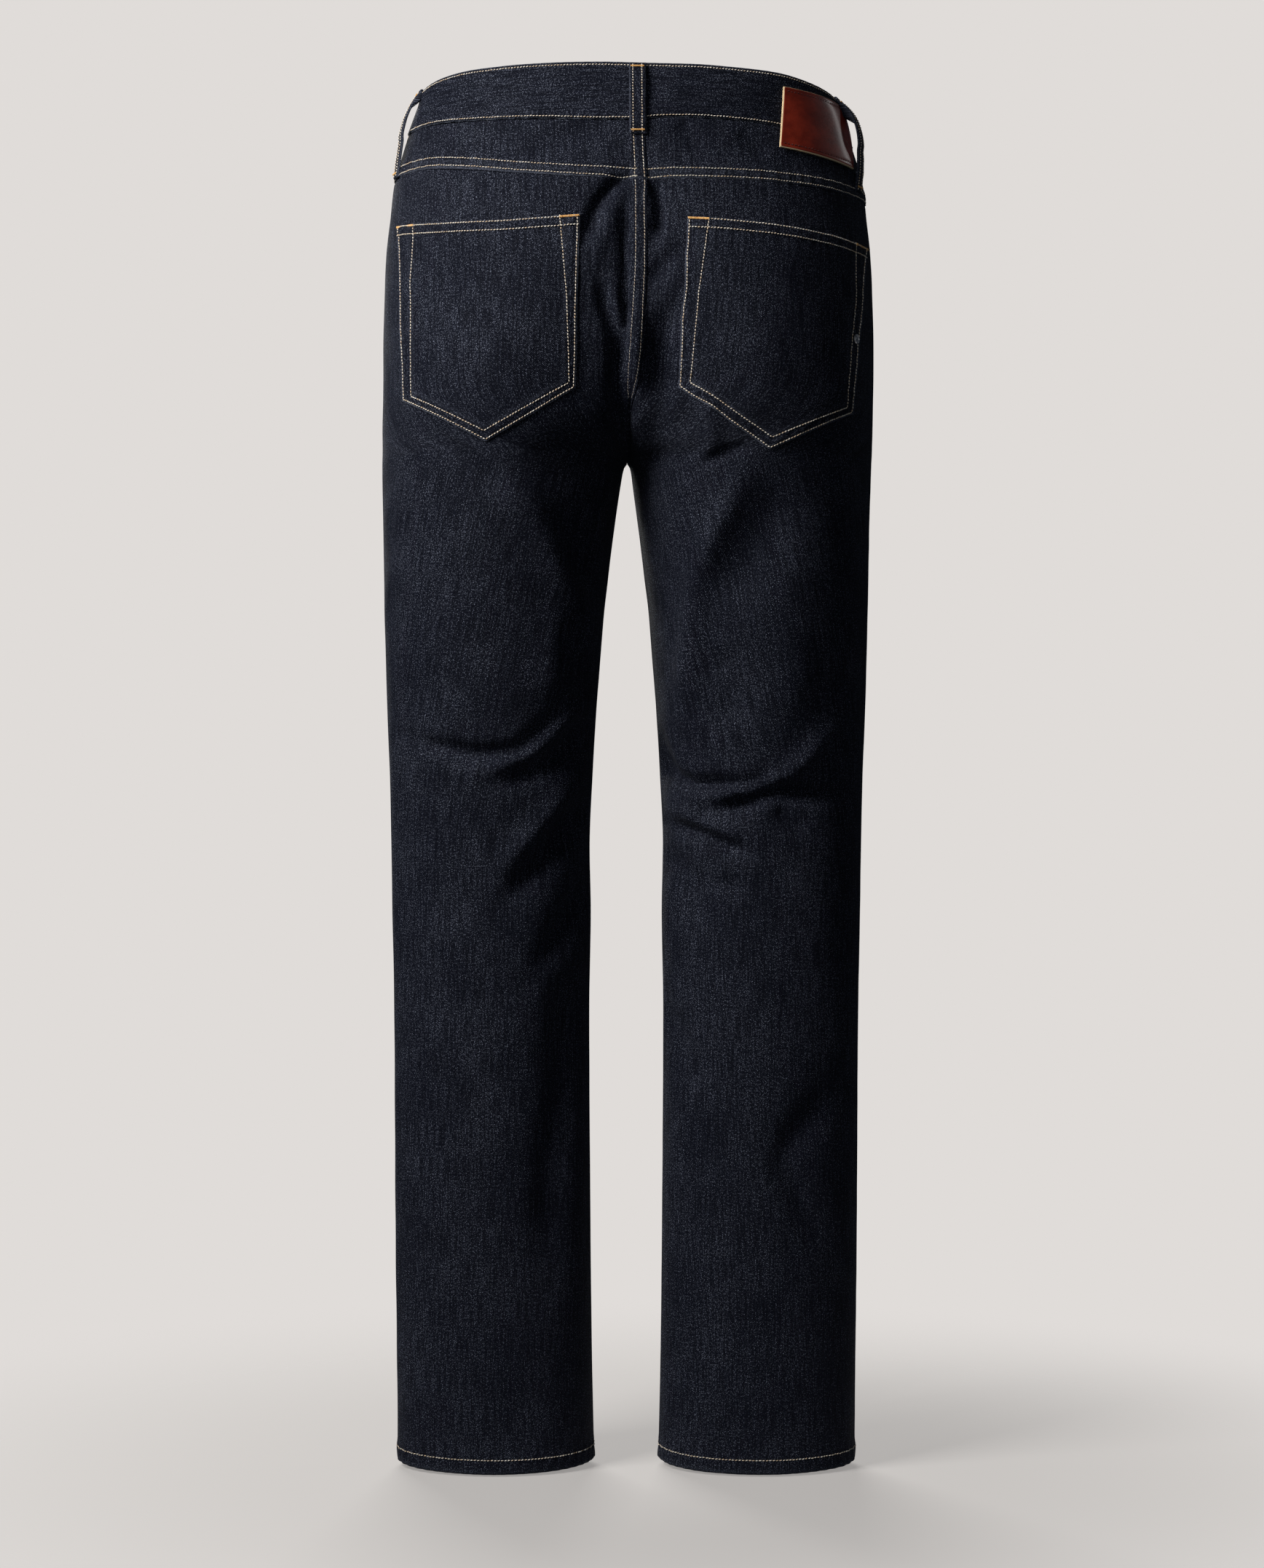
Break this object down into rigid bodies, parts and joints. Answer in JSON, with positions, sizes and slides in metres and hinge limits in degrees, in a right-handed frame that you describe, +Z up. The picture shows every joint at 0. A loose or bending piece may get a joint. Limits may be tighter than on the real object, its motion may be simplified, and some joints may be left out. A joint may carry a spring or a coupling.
{
  "type": "straight leg jeans",
  "caption": "Dark indigo straight leg jeans with patch back pockets, a yoked seat, belt loops and a blank leather patch, standing in their worn shape with no wearer.",
  "frame": {"origin": "middle of the waist opening, where the wearer's waist holds the trousers up", "axes": "+X to the wearer's left, +Y to the wearer's back, +Z up"},
  "size_m": [0.3983, 0.2454, 1.1177],
  "materials": {
    "denim": "dark indigo twill, unwashed",
    "pocket_denim": "dark indigo twill",
    "leather": "glossy red brown",
    "metal": "aged"
  },
  "bodies": {
    "root": {"back_left": "denim", "back_right": "denim", "front_left": "denim", "front_right": "denim", "yoke_left": "denim", "yoke_right": "denim", "waistband": "denim", "belt_loop_back": "denim", "belt_loop_side_left": "denim", "belt_loop_side_right": "denim", "belt_loop_front_left": "denim", "belt_loop_front_right": "denim", "back_pocket_left": "denim", "back_pocket_right": "denim", "pocket_facing_left": "pocket_denim", "pocket_facing_right": "pocket_denim", "fly": "denim", "leather_patch": "leather", "button": "metal", "pocket_rivet": "metal"}
  },
  "joints": []
}
